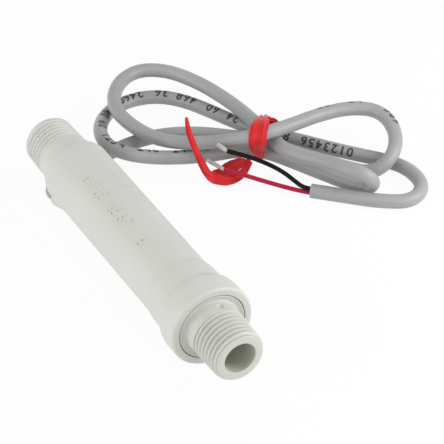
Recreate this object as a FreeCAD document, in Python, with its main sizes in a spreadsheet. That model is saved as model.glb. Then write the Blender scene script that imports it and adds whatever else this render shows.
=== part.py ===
import FreeCAD
import Part
import Sketcher
import math
import os

# In-line piston flow sensor: water enters the threaded end fitting, pushes a sprung piston along the
# bore and leaves through the threaded end of the housing. A magnet in the piston closes a reed switch
# that is potted in a pocket of the housing's wall, and a tied-up two-wire cable leaves by a hood.
# Millimetres. X is the direction of flow, Z is up, and the sensor lies on its bell at Z = 0.

SIZES = {
    # End fitting, from the inlet face inwards
    "thread_diameter": 13.716,
    "thread_chamfer": 0.8,
    "inlet_thread_length": 9.7,
    "hand_tight_length": 5.0,
    "thread_taper_rise": 0.14,
    "inlet_bore": 8.1,
    "collar_step": 0.19,
    "collar_length": 3.5,
    "collar_fillet_share": 0.72,
    "flange_thickness": 4.0,
    "flange_step": 1.9,
    "spigot_length": 12.1,
    "seal_groove_offset": 4.4,
    "seal_groove_depth": 1.25,
    "seal_section": 1.3,
    "seal_side_room": 0.25,
    "assembly_clearance": 0.05,
    "spigot_end_gap": 0.1,
    # Housing, from the bell to the outlet face
    "bell_diameter": 21.74,
    "bell_rim_round": 0.9,
    "bell_rim_land": 1.07,
    "bell_straight": 4.6,
    "bell_curve": 4.15,
    "waist_swell": 0.57,
    "waist_length": 4.75,
    "flare_length": 2.6,
    "barrel_diameter": 18.0,
    "barrel_length": 54.7,
    "shoulder_length": 1.9,
    "shoulder_drop": 0.9,
    "neck_length": 5.6,
    "outlet_thread_length": 10.1,
    "spring_seat_depth": 8.4,
    "spring_seat_step": 1.2,
    # Cable hood and reed pocket in the housing's wall
    "hood_turn": 61.0,
    "hood_wall": 0.4,
    "hood_root_step": 1.2,
    "hood_overhang": 2.8,
    "cable_diameter": 3.8,
    "cable_room": 0.2,
    "cable_tilt": 13.0,
    "cable_mouth_lift": 0.1,
    "cable_bore_depth": 5.2,
    "cable_relief": 4.2,
    "cable_relief_flare": 0.9,
    "pocket_wall": 0.45,
    "pocket_room": 0.15,
    "pocket_end_room": 0.4,
    # Piston, its magnet and the spring
    "piston_clearance": 0.1,
    "piston_seat_gap": 0.2,
    "piston_nose_length": 1.8,
    "piston_nose_room": 0.3,
    "piston_tip_length": 1.7,
    "piston_tip_step": 1.35,
    "piston_guide_length": 16.0,
    "piston_flute_width": 3.4,
    "piston_flute_floor": 0.6,
    "piston_stem_wall": 0.85,
    "piston_stem_length": 9.0,
    "magnet_diameter": 4.0,
    "magnet_length": 10.0,
    "magnet_plug_length": 2.0,
    "spring_wire": 0.5,
    "spring_room": 0.45,
    "spring_turns": 8.0,
    "spring_end_gap": 0.05,
    # Reed switch and its leads
    "reed_length": 10.0,
    "reed_diameter": 1.8,
    "reed_glass": 0.3,
    "reed_seal_length": 1.5,
    "reed_setback": 11.9,
    "reed_lead_diameter": 0.5,
    "reed_lead_length": 1.6,
    "blade_width": 0.9,
    "blade_thickness": 0.2,
    "blade_gap": 0.12,
    "blade_overlap": 1.0,
    "joint_diameter": 0.66,
    "joint_length": 1.6,
    "inner_lead_diameter": 0.7,
    "inner_lead_gap": 0.1,
    # Free end of the cable and the tie
    "wire_diameter": 1.2,
    "strand_diameter": 0.8,
    "tie_width": 4.6,
    "tie_thickness": 0.4,
    "tie_room": 0.2,
    "tail_width": 3.6,
}

# Route of the cable's middle: out of the hood, under the outlet thread, then five times through the
# tie in open loops, and back to the cut end of the jacket.
CABLE_ROUTE = [
    (31.3, 3.886, 3.86), (37.8, 4.62, 2.53), (42.6, 1.7, 1.9), (45.7, -5.6, 1.9), (48.21, -15.81, 1.9),
    (49.71, -24, 1.9), (49.01, -32.7, 1.9), (45.31, -40.8, 1.9), (39.71, -47.89, 1.9),
    (32.15, -53.95, 2.66), (25.12, -59.19, 1.9), (17.72, -63.99, 1.9), (11.93, -67.89, 1.9),
    (5.58, -71.96, 2.39), (5.4, -78.28, 5.64), (12.33, -83.8, 7.59), (22.29, -84.87, 8.24),
    (26.69, -77.95, 8.89), (27.31, -68.34, 9.33), (25.3, -58.19, 10.41), (25.49, -50.01, 10.52),
    (28.34, -44.31, 9), (33.15, -39.54, 6.72), (37.84, -33.4, 5.75), (43.13, -27.81, 5.75),
    (50.86, -24.48, 6.4), (59.45, -23.53, 7.38), (68.4, -28.82, 7.59), (72.48, -36.96, 7.59),
    (68.88, -44.25, 7.48), (61.07, -49.26, 6.94), (51.17, -52.55, 6.4), (40.97, -53.84, 6.51),
    (30.78, -54.13, 6.51), (20.17, -54.22, 6.72), (14.2, -57.76, 7.59), (8.88, -60.48, 8.89),
    (3.72, -62.43, 9.65), (-0.98, -64.92, 9.76), (-1.92, -67.85, 5.86), (1.23, -68.29, 1.9),
    (6.23, -64.39, 1.9), (13.74, -60.66, 1.9), (21.44, -56.96, 1.9), (28.33, -52.17, 2.66),
    (32.72, -46.9, 1.9), (34.22, -39.81, 1.9), (36.9, -32.22, 2.06), (38.76, -24.85, 3.47),
    (40.87, -18.35, 5.42), (46.4, -14.61, 6.07), (56.2, -17.26, 4.99), (65.23, -25.07, 2.6),
    (67.76, -33.14, 1.9), (65.93, -40.23, 1.9), (59.85, -46.04, 1.9), (48.66, -51.01, 1.9),
    (35.44, -55.95, 2.66), (29.5, -63, 1.9), (21.95, -68.4, 1.9), (14.86, -74.09, 1.9),
    (9.33, -78.98, 1.9), (2.7, -82.19, 1.9), (-5.49, -81.18, 1.9), (-9.28, -74.54, 1.9),
    (-4.4, -66.88, 1.9), (1.9, -60.48, 1.9), (7.53, -54.61, 1.9),
]

# The two insulated wires fan out of the jacket, and each ends in bare strands.
BLACK_ROUTE = [
    (7.53, -54.61, 2.55), (9.046, -53.029, 2.55), (12.1, -53.1, 2.9), (17.6, -51.9, 4.0), (22.1, -48.5, 5.6),
    (24.6, -44.1, 7.0), (27.3, -40.2, 8.0),
]
BLACK_TIP = (29.7, -38.9, 8.9)
RED_ROUTE = [
    (7.53, -54.61, 1.25), (9.953, -52.084, 1.25), (12.7, -50.6, 1.4), (16.6, -46.8, 1.8), (21.6, -42.4, 2.4),
    (25.6, -38.7, 3.0),
]
RED_TIP = (30.5, -36.3, 3.8)

# The tie's band stands square to the bundle. Its corners are cable strands, as (across, up) from the
# middle of the bundle's foot. Its loose tail goes from the band to the floor and curls up, with the
# share of its full width that is left at each point and how far the ribbon has turned there.
TIE_FOOT = (32.8, -54.4)
BUNDLE_YAW = 240.656
BUNDLE_CORNERS = [(-6.1, 2.5), (5.6, 2.5), (5.2, 6.6), (-7.0, 10.55), (-8.65, 10.15)]
TAIL_ROUTE = [
    (26.7, -49.8, 1.6), (24.1, -42.7, 0.7), (22.9, -37.2, 0.7), (24.8, -34.0, 2.4), (27.1, -32.0, 6.5),
    (29.1, -31.0, 12.0), (30.9, -30.4, 19.0),
]
TAIL_TWIST = [(0.9, 0), (1.0, -17), (1.0, -44), (0.9, -85), (0.7, -90), (0.45, -90), (0.1, -90)]

X_AXIS = FreeCAD.Vector(1, 0, 0)
Y_AXIS = FreeCAD.Vector(0, 1, 0)
Z_AXIS = FreeCAD.Vector(0, 0, 1)


class Size:
    """A length with its value and the formula that ties it to the sheet of sizes."""

    def __init__(self, value, formula):
        self.value = value
        self.formula = formula

    def joined(self, other, sign, value):
        formula = other.formula if isinstance(other, Size) else str(other)
        return Size(value, f"({self.formula} {sign} {formula})")

    def __add__(self, other):
        return self.joined(other, "+", self.value + number(other))

    def __sub__(self, other):
        return self.joined(other, "-", self.value - number(other))

    def __mul__(self, other):
        return self.joined(other, "*", self.value * number(other))

    def __truediv__(self, other):
        return self.joined(other, "/", self.value / number(other))


def number(size):
    return size.value if isinstance(size, Size) else size


doc = FreeCAD.newDocument("flow_sensor")
sheet = doc.addObject("Spreadsheet::Sheet", "Sizes")
for row, (alias, amount) in enumerate(SIZES.items(), start=1):
    sheet.set(f"A{row}", alias)
    sheet.set(f"B{row}", str(amount))
    sheet.setAlias(f"B{row}", alias)
doc.recompute()


def size(alias):
    return Size(float(sheet.get(alias)), f"Sizes.{alias}")


def tangent(alias):
    return Size(math.tan(math.radians(sheet.get(alias))), f"tan(Sizes.{alias})")


# Stations along the sensor, measured from the inlet face.
ZERO = Size(0.0, "0")
RIM = size("inlet_thread_length") + size("collar_length")
FLANGE_BACK = RIM + size("flange_thickness")
SPIGOT_END = FLANGE_BACK + size("spigot_length")
BORE_START = SPIGOT_END + size("spigot_end_gap")
BELL_END = RIM + size("bell_straight")
WAIST_START = BELL_END + size("bell_curve")
WAIST_END = WAIST_START + size("waist_length")
BARREL_START = WAIST_END + size("flare_length")
BARREL_END = BARREL_START + size("barrel_length")
NECK_START = BARREL_END + size("shoulder_length")
NECK_END = NECK_START + size("neck_length")
OUTLET = NECK_END + size("outlet_thread_length")
SPRING_SEAT = BARREL_END - size("spring_seat_depth")
HOOD_MOUTH = BARREL_END + size("hood_overhang")
CABLE_BORE_START = HOOD_MOUTH - size("cable_bore_depth")
PISTON_FRONT = SPIGOT_END + size("piston_seat_gap")
GUIDE_END = PISTON_FRONT + size("piston_guide_length")
STEM_END = GUIDE_END + size("piston_stem_length")
MAGNET_END = STEM_END - size("magnet_plug_length")
MAGNET_START = MAGNET_END - size("magnet_length")
REED_MIDDLE = SPRING_SEAT - size("reed_setback")
REED_START = REED_MIDDLE - size("reed_length") / 2
REED_END = REED_MIDDLE + size("reed_length") / 2
LEAD_TURN = REED_START - size("reed_lead_length")

# Radii that pieces share. The reed and its returning lead set the pocket, the pocket sets the barrel's
# wall, and the wall sets the bore that the piston runs in.
BELL_RADIUS = size("bell_diameter") / 2
FLANGE_BORE = BELL_RADIUS - size("bell_rim_round") - size("bell_rim_land")
FLANGE_RADIUS = FLANGE_BORE - size("assembly_clearance")
SPIGOT_RADIUS = FLANGE_RADIUS - size("flange_step")
THREAD_RADIUS = size("thread_diameter") / 2
THREAD_END_RADIUS = THREAD_RADIUS + size("thread_taper_rise")
BARREL_RADIUS = size("barrel_diameter") / 2
POCKET_CONTENTS = size("reed_diameter") + size("inner_lead_gap") + size("inner_lead_diameter")
POCKET_HALF = POCKET_CONTENTS / 2 + size("pocket_room")
POCKET_RADIUS = BARREL_RADIUS - size("pocket_wall") - POCKET_HALF
REED_RADIUS = POCKET_RADIUS - POCKET_HALF + size("pocket_room") + size("reed_diameter") / 2
RETURN_RADIUS = POCKET_RADIUS + POCKET_HALF - size("pocket_room") - size("inner_lead_diameter") / 2
LEAD_BEND = (RETURN_RADIUS - REED_RADIUS) / 2
POCKET_END = LEAD_TURN - LEAD_BEND - size("reed_lead_diameter") / 2 - size("pocket_end_room")
BORE_RADIUS = POCKET_RADIUS - POCKET_HALF - size("pocket_wall")
MAGNET_HOLE = size("magnet_diameter") / 2 + size("assembly_clearance")
STEM_RADIUS = MAGNET_HOLE + size("piston_stem_wall")
CABLE_RADIUS = size("cable_diameter") / 2
CABLE_BORE_RADIUS = CABLE_RADIUS + size("cable_room")


def cable_line(station):
    """Distance of the cable's hole from the sensor's axis at a station."""
    return BARREL_RADIUS + size("cable_mouth_lift") - (HOOD_MOUTH - station) * tangent("cable_tilt")


def seat(item, along=ZERO, out=ZERO):
    """Lays a sub-part in the sensor: along the flow, and out from the axis towards the cable hood."""
    item.Placement = FreeCAD.Placement(FreeCAD.Vector(), FreeCAD.Rotation(X_AXIS, -60))
    item.setExpression("Placement.Rotation.Angle", "-Sizes.hood_turn * 1 deg")
    item.setExpression("Placement.Base.x", (along - OUTLET / 2).formula)
    item.setExpression("Placement.Base.y", f"{out.formula} * cos(Sizes.hood_turn)")
    item.setExpression("Placement.Base.z", f"{BELL_RADIUS.formula} - {out.formula} * sin(Sizes.hood_turn)")


def new_body(label):
    body = doc.addObject("PartDesign::Body", label)
    body.Label = label
    return body


def new_sketch(body, name, plane, offset=ZERO):
    """A sketch on one of the body's own planes, moved along the plane's normal."""
    sketch = body.newObject("Sketcher::SketchObject", name)
    support = [feature for feature in body.Origin.OriginFeatures if feature.Role == plane]
    sketch.AttachmentSupport = (support[0], "")
    sketch.MapMode = "FlatFace"
    if offset is not ZERO:
        sketch.AttachmentOffset = FreeCAD.Placement(FreeCAD.Vector(0, 0, offset.value), FreeCAD.Rotation())
        sketch.setExpression("AttachmentOffset.Base.z", offset.formula)
    return sketch


def place_point(sketch, edge, end, point):
    """Dimensions a point of a sketch from the sketch's origin."""
    for kind, axis, length in (("DistanceX", -2, point[0]), ("DistanceY", -1, point[1])):
        if length is ZERO:
            sketch.addConstraint(Sketcher.Constraint("PointOnObject", edge, end, axis))
        else:
            index = sketch.addConstraint(Sketcher.Constraint(kind, -1, 1, edge, end, length.value))
            sketch.setExpression(f"Constraints[{index}]", length.formula)


def add_circle(sketch, centre, radius):
    at = FreeCAD.Vector(centre[0].value, centre[1].value, 0)
    circle = sketch.addGeometry(Part.Circle(at, Z_AXIS, radius.value))
    place_point(sketch, circle, 3, centre)
    index = sketch.addConstraint(Sketcher.Constraint("Radius", circle, radius.value))
    sketch.setExpression(f"Constraints[{index}]", radius.formula)


def add_outline(sketch, points, arcs=None):
    """A closed outline. arcs names the edges that are round, each with the x of its centre."""
    arcs = arcs or {}
    edges = []
    for i, (start, end) in enumerate(zip(points, points[1:] + points[:1])):
        a = FreeCAD.Vector(start[0].value, start[1].value, 0)
        b = FreeCAD.Vector(end[0].value, end[1].value, 0)
        if i not in arcs:
            edges.append((sketch.addGeometry(Part.LineSegment(a, b)), 1, 2))
            continue
        x = arcs[i].value
        y = ((b.x - x) ** 2 - (a.x - x) ** 2 + b.y**2 - a.y**2) / (2 * (b.y - a.y))
        circle = Part.Circle(FreeCAD.Vector(x, y, 0), Z_AXIS, math.hypot(a.x - x, a.y - y))
        from_a = math.atan2(a.y - y, a.x - x)
        to_b = math.atan2(b.y - y, b.x - x)
        if (to_b - from_a) % (2 * math.pi) < math.pi:
            edges.append((sketch.addGeometry(Part.ArcOfCircle(circle, from_a, to_b)), 1, 2))
        else:
            edges.append((sketch.addGeometry(Part.ArcOfCircle(circle, to_b, from_a)), 2, 1))
    for i, (edge, first, last) in enumerate(edges):
        following = edges[(i + 1) % len(edges)]
        sketch.addConstraint(Sketcher.Constraint("Coincident", edge, last, following[0], following[1]))
        place_point(sketch, edge, first, points[i])
        if i in arcs:
            index = sketch.addConstraint(Sketcher.Constraint("DistanceX", -1, 1, edge, 3, arcs[i].value))
            sketch.setExpression(f"Constraints[{index}]", arcs[i].formula)


def revolve(body, name, points, arcs=None):
    """A turned solid: the outline's points are (along the axis, radius)."""
    sketch = new_sketch(body, f"{name}_profile", "XZ_Plane")
    add_outline(sketch, points, arcs)
    turned = body.newObject("PartDesign::Revolution", f"{name}_turned")
    turned.Profile = sketch
    turned.ReferenceAxis = (sketch, ["H_Axis"])
    turned.Angle = 360
    doc.recompute()


def loft(body, kind, name, start, end):
    """A tapered round boss or hole between two circles, each given as (station, offset, radius)."""
    sections = []
    for end_name, (station, out, radius) in (("start", start), ("end", end)):
        sketch = new_sketch(body, f"{name}_{end_name}", "YZ_Plane", station)
        add_circle(sketch, (out, ZERO), radius)
        sections.append(sketch)
    feature = body.newObject(f"PartDesign::{kind}", name)
    feature.Profile = sections[0]
    feature.Sections = [sections[1]]
    doc.recompute()


def cut_along(body, name, sketch, length, backwards):
    """A pocket along the axis, checked to remove material."""
    before = body.Shape.Volume
    pocket = body.newObject("PartDesign::Pocket", name)
    pocket.Profile = sketch
    pocket.Length = length.value
    pocket.setExpression("Length", length.formula)
    pocket.Reversed = not backwards
    doc.recompute()
    if not body.Shape.Volume < before - 0.01:
        raise ValueError(f"{name} cuts nothing")
    return pocket


def rod(label, start, out, diameter, end):
    """A straight round piece along the flow, at a distance from the axis."""
    piece = doc.addObject("Part::Cylinder", label)
    piece.Label = label
    piece.setExpression("Radius", (diameter / 2).formula)
    piece.setExpression("Height", (end - start).formula)
    upright = FreeCAD.Rotation(Y_AXIS, 90)
    piece.Placement = FreeCAD.Placement(FreeCAD.Vector(), upright)
    piece.setExpression("Placement.Base.x", (start - OUTLET / 2).formula)
    piece.setExpression("Placement.Base.y", f"{out.formula} * cos(Sizes.hood_turn)")
    piece.setExpression("Placement.Base.z", f"{BELL_RADIUS.formula} - {out.formula} * sin(Sizes.hood_turn)")
    return piece


def make_end_fitting():
    body = new_body("end_fitting")
    collar = THREAD_RADIUS + size("collar_step")
    fillet = (FLANGE_RADIUS - collar) * size("collar_fillet_share")
    bore = size("inlet_bore") / 2
    chamfer = size("thread_chamfer")
    groove = FLANGE_BACK + size("seal_groove_offset")
    groove_end = groove + size("seal_section") + size("seal_side_room")
    groove_floor = SPIGOT_RADIUS - size("seal_groove_depth")
    thread_end = size("inlet_thread_length")
    points = [
        (ZERO, bore),
        (ZERO, THREAD_RADIUS - chamfer),
        (chamfer, THREAD_RADIUS),
        (size("hand_tight_length"), THREAD_RADIUS),
        (thread_end, THREAD_END_RADIUS),
        (thread_end, collar),
        (RIM - fillet, collar),
        (RIM, collar + fillet),
        (RIM, FLANGE_RADIUS),
        (FLANGE_BACK, FLANGE_RADIUS),
        (FLANGE_BACK, SPIGOT_RADIUS),
        (groove, SPIGOT_RADIUS),
        (groove, groove_floor),
        (groove_end, groove_floor),
        (groove_end, SPIGOT_RADIUS),
        (SPIGOT_END, SPIGOT_RADIUS),
        (SPIGOT_END, bore),
    ]
    revolve(body, "fitting", points, {6: RIM - fillet})
    seat(body)


def make_end_fitting_seal():
    seal = doc.addObject("Part::Torus", "end_fitting_seal")
    seal.Label = "end_fitting_seal"
    section = size("seal_section") / 2
    ring = SPIGOT_RADIUS - size("seal_groove_depth") + section
    middle = FLANGE_BACK + size("seal_groove_offset") + section + size("seal_side_room") / 2
    seal.setExpression("Radius1", ring.formula)
    seal.setExpression("Radius2", section.formula)
    seal.Placement = FreeCAD.Placement(FreeCAD.Vector(), FreeCAD.Rotation(Y_AXIS, 90))
    seal.setExpression("Placement.Base.x", (middle - OUTLET / 2).formula)
    seal.setExpression("Placement.Base.z", BELL_RADIUS.formula)


def make_housing():
    body = new_body("housing")
    rim_round = size("bell_rim_round")
    waist = BARREL_RADIUS + size("waist_swell")
    neck = BARREL_RADIUS - size("shoulder_drop")
    chamfer = size("thread_chamfer")
    outlet_bore = BORE_RADIUS - size("spring_seat_step")
    spigot_bore = SPIGOT_RADIUS + size("assembly_clearance")
    points = [
        (RIM, FLANGE_BORE),
        (RIM, BELL_RADIUS - rim_round),
        (RIM + rim_round, BELL_RADIUS),
        (BELL_END, BELL_RADIUS),
        (WAIST_START, waist),
        (WAIST_END, waist),
        (BARREL_START, BARREL_RADIUS),
        (BARREL_END, BARREL_RADIUS),
        (NECK_START, neck),
        (NECK_END, THREAD_END_RADIUS),
        (OUTLET - size("hand_tight_length"), THREAD_RADIUS),
        (OUTLET - chamfer, THREAD_RADIUS),
        (OUTLET, THREAD_RADIUS - chamfer),
        (OUTLET, outlet_bore),
        (SPRING_SEAT, outlet_bore),
        (SPRING_SEAT, BORE_RADIUS),
        (BORE_START, BORE_RADIUS),
        (BORE_START, spigot_bore),
        (FLANGE_BACK, spigot_bore),
        (FLANGE_BACK, FLANGE_BORE),
    ]
    revolve(body, "housing", points, {1: RIM + rim_round, 3: BELL_END, 5: WAIST_END, 7: BARREL_END})
    hood_start = SPRING_SEAT + size("hood_root_step")
    hood_radius = CABLE_BORE_RADIUS + size("hood_wall")
    root_radius = BARREL_RADIUS - cable_line(hood_start) - size("assembly_clearance")
    hood_root = (hood_start, cable_line(hood_start), root_radius)
    hood_mouth = (HOOD_MOUTH, cable_line(HOOD_MOUTH), hood_radius)
    loft(body, "AdditiveLoft", "cable_hood", hood_root, hood_mouth)
    hole_start = (CABLE_BORE_START, cable_line(CABLE_BORE_START), CABLE_BORE_RADIUS)
    hole_mouth = (HOOD_MOUTH, cable_line(HOOD_MOUTH), CABLE_BORE_RADIUS)
    loft(body, "SubtractiveLoft", "cable_hole", hole_start, hole_mouth)
    relief = HOOD_MOUTH + size("cable_relief")
    relief_end = (relief, cable_line(relief), CABLE_BORE_RADIUS + size("cable_relief_flare"))
    loft(body, "SubtractiveLoft", "shoulder_relief", hole_mouth, relief_end)
    sketch = new_sketch(body, "reed_pocket_circle", "YZ_Plane", CABLE_BORE_START)
    add_circle(sketch, (POCKET_RADIUS, ZERO), POCKET_HALF)
    cut_along(body, "reed_pocket", sketch, CABLE_BORE_START - POCKET_END, True)
    seat(body)


def make_piston():
    body = new_body("piston")
    guide = BORE_RADIUS - size("piston_clearance")
    nose = size("inlet_bore") / 2 - size("piston_nose_room")
    nose_end = PISTON_FRONT - size("piston_nose_length")
    tip = nose_end - size("piston_tip_length")
    points = [
        (tip, ZERO),
        (tip, nose - size("piston_tip_step")),
        (nose_end, nose),
        (PISTON_FRONT, nose),
        (PISTON_FRONT, guide),
        (GUIDE_END, guide),
        (GUIDE_END, STEM_RADIUS),
        (STEM_END, STEM_RADIUS),
        (STEM_END, MAGNET_HOLE),
        (MAGNET_START, MAGNET_HOLE),
        (MAGNET_START, ZERO),
    ]
    revolve(body, "piston", points)
    sketch = new_sketch(body, "flute_outline", "YZ_Plane", PISTON_FRONT)
    half = size("piston_flute_width") / 2
    floor = STEM_RADIUS + size("piston_flute_floor")
    top = guide + size("piston_clearance")
    add_outline(sketch, [(floor, ZERO - half), (top, ZERO - half), (top, half), (floor, half)])
    flute = cut_along(body, "flute", sketch, size("piston_guide_length"), False)
    flutes = body.newObject("PartDesign::PolarPattern", "flutes")
    flutes.Originals = [flute]
    flutes.Axis = (sketch, ["N_Axis"])
    flutes.Angle = 360
    flutes.Occurrences = 4
    body.Tip = flutes
    seat(body)


def make_spring():
    body = new_body("return_spring")
    wire = size("spring_wire") / 2
    start = GUIDE_END + size("spring_end_gap") + wire
    end = SPRING_SEAT - size("spring_end_gap") - wire
    sketch = new_sketch(body, "spring_wire_circle", "XZ_Plane")
    add_circle(sketch, (start, BORE_RADIUS - size("spring_room") - wire), wire)
    coil = body.newObject("PartDesign::AdditiveHelix", "coil")
    coil.Profile = sketch
    coil.ReferenceAxis = (sketch, ["H_Axis"])
    coil.Mode = "height-turns-angle"
    coil.setExpression("Height", (end - start).formula)
    coil.setExpression("Turns", "Sizes.spring_turns")
    doc.recompute()
    seat(body)


def make_reed_capsule():
    body = new_body("reed_capsule")
    outer = size("reed_diameter") / 2
    inner = outer - size("reed_glass")
    lead = size("reed_lead_diameter") / 2
    length = size("reed_length")
    seal = size("reed_seal_length")
    far_seal = length - seal
    glass = size("reed_glass")
    revolve(body, "glass", [(ZERO, lead), (ZERO, inner), (glass, outer), (length - glass, outer),
                            (length, inner), (length, lead), (far_seal, lead), (far_seal, inner),
                            (seal, inner), (seal, lead)],
            {1: glass, 3: length - glass})
    seat(body, REED_START, REED_RADIUS)


def make_reed_blade(label, lead, strip, lift, turned_back):
    """A flat blade inside the glass and its round lead through the glass seal.

    lead and strip are (from, to) along the reed, from where the inner lead turns back. lift is the
    underside of the strip. The inner lead turns back beside the glass, towards the cable.
    """
    body = new_body(label)
    half = size("blade_width") / 2
    outline = new_sketch(body, f"{label}_strip_outline", "XY_Plane", lift)
    start, end = strip
    add_outline(outline, [(start, ZERO - half), (end, ZERO - half), (end, half), (start, half)])
    flat = body.newObject("PartDesign::Pad", f"{label}_strip")
    flat.Profile = outline
    flat.setExpression("Length", size("blade_thickness").formula)
    circle = new_sketch(body, f"{label}_lead_circle", "YZ_Plane", lead[0])
    add_circle(circle, (ZERO, ZERO), size("reed_lead_diameter") / 2)
    stem = body.newObject("PartDesign::Pad", f"{label}_lead")
    stem.Profile = circle
    stem.setExpression("Length", (lead[1] - lead[0]).formula)
    if turned_back:
        bend = new_sketch(body, f"{label}_bend_circle", "YZ_Plane")
        add_circle(bend, (ZERO, ZERO), size("reed_lead_diameter") / 2)
        foot = FreeCAD.Vector(LEAD_BEND.value, -1, 0)
        head = FreeCAD.Vector(LEAD_BEND.value, 1, 0)
        axis = bend.addGeometry(Part.LineSegment(foot, head), True)
        bend.addConstraint(Sketcher.Constraint("Vertical", axis))
        index = bend.addConstraint(Sketcher.Constraint("DistanceX", -1, 1, axis, 1, LEAD_BEND.value))
        bend.setExpression(f"Constraints[{index}]", LEAD_BEND.formula)
        turn = body.newObject("PartDesign::Revolution", f"{label}_bend")
        turn.Profile = bend
        turn.ReferenceAxis = (bend, ["Axis0"])
        turn.Angle = 180
        turn.Reversed = True
    doc.recompute()
    seat(body, LEAD_TURN, REED_RADIUS)


def make_reed_switch():
    lead = size("reed_lead_length")
    length = size("reed_length")
    seal = size("reed_seal_length")
    lap = size("blade_overlap") / 2
    middle = lead + length / 2
    gap = size("blade_gap") / 2
    inner_lead = (ZERO, lead + seal)
    inner_strip = (lead + seal, middle + lap)
    make_reed_blade("reed_blade_inner", inner_lead, inner_strip, ZERO - gap - size("blade_thickness"), True)
    outer_lead = (lead + length - seal, lead + length + lead)
    outer_strip = (middle - lap, lead + length - seal)
    make_reed_blade("reed_blade_outer", outer_lead, outer_strip, gap, False)
    make_reed_capsule()


def make_leads_and_potting():
    """Joints and leads from the reed to the cable, and the resin that fills the pocket around them."""
    joint = size("joint_length")
    wire = size("inner_lead_diameter")
    outer_joint = REED_END + size("reed_lead_length")
    lead_end = CABLE_BORE_START + size("cable_room")
    held = [
        rod("solder_joint_inner", LEAD_TURN, RETURN_RADIUS, size("joint_diameter"), LEAD_TURN + joint),
        rod("solder_joint_outer", outer_joint, REED_RADIUS, size("joint_diameter"), outer_joint + joint),
        rod("inner_lead_red", LEAD_TURN + joint, RETURN_RADIUS, wire, lead_end),
        rod("inner_lead_black", outer_joint + joint, REED_RADIUS, wire, lead_end),
        rod("reed_envelope", REED_START, REED_RADIUS, size("reed_diameter"), REED_END),
        doc.getObject("reed_blade_inner"),
        doc.getObject("reed_blade_outer"),
    ]
    resin = (POCKET_HALF - size("assembly_clearance")) * 2
    start = POCKET_END + size("assembly_clearance")
    fill = rod("potting_fill", start, POCKET_RADIUS, resin, CABLE_BORE_START)
    inside = doc.addObject("Part::MultiFuse", "potted_pieces")
    inside.Shapes = held
    potting = doc.addObject("Part::Cut", "potting")
    potting.Label = "potting"
    potting.Base = fill
    potting.Tool = inside


def make_magnet():
    rod("piston_magnet", MAGNET_START, ZERO, size("magnet_diameter"), MAGNET_END)
    rod("magnet_plug", MAGNET_END, ZERO, size("magnet_diameter"), STEM_END)


def round_path(points):
    """Straight runs joined by arcs as large as the runs allow, with the arcs' radii."""
    points = [FreeCAD.Vector(*point) for point in points]
    edges = []
    radii = []
    start = points[0]
    for before, corner, after in zip(points, points[1:], points[2:]):
        back = before - corner
        ahead = after - corner
        reach = 0.45 * min(back.Length, ahead.Length)
        half_turn = (math.pi - back.getAngle(ahead)) / 2
        radius = reach / math.tan(half_turn)
        back.normalize()
        ahead.normalize()
        bisector = (back + ahead).normalize()
        middle = corner + bisector * (radius / math.cos(half_turn) - radius)
        arc_start = corner + back * reach
        arc_end = corner + ahead * reach
        edges.append(Part.LineSegment(start, arc_start).toShape())
        edges.append(Part.Arc(arc_start, middle, arc_end).toShape())
        radii.append(round(radius, 1))
        start = arc_end
    edges.append(Part.LineSegment(start, points[-1]).toShape())
    return Part.Wire(edges), radii


def tube(label, points, diameter):
    """A round solid along a route, with its volume compared with its section and length."""
    path, radii = round_path(points)
    direction = FreeCAD.Vector(*points[1]) - FreeCAD.Vector(*points[0])
    circle = Part.Circle(FreeCAD.Vector(*points[0]), direction, diameter.value / 2).toShape()
    solid = path.makePipe(Part.Face(Part.Wire(circle)))
    expected = math.pi * diameter.value**2 / 4 * path.Length
    if abs(solid.Volume / expected - 1) > 0.01:
        raise ValueError(f"{label} has volume {solid.Volume:.1f} and not {expected:.1f}")
    piece = doc.addObject("Part::Feature", label)
    piece.Label = label
    piece.Shape = solid
    print(f"{label}: {path.Length:.1f} mm long, arc radii {radii}")


def make_cable():
    tube("cable_jacket", CABLE_ROUTE, size("cable_diameter"))
    for colour, route, tip in (("red", RED_ROUTE, RED_TIP), ("black", BLACK_ROUTE, BLACK_TIP)):
        tube(f"wire_{colour}", route, size("wire_diameter"))
        end = FreeCAD.Vector(*route[-1])
        run = end - FreeCAD.Vector(*route[-2])
        bare = end + run.normalize() * size("wire_diameter").value
        tube(f"strands_{colour}", [route[-1], tuple(bare), tip], size("strand_diameter"))


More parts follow.
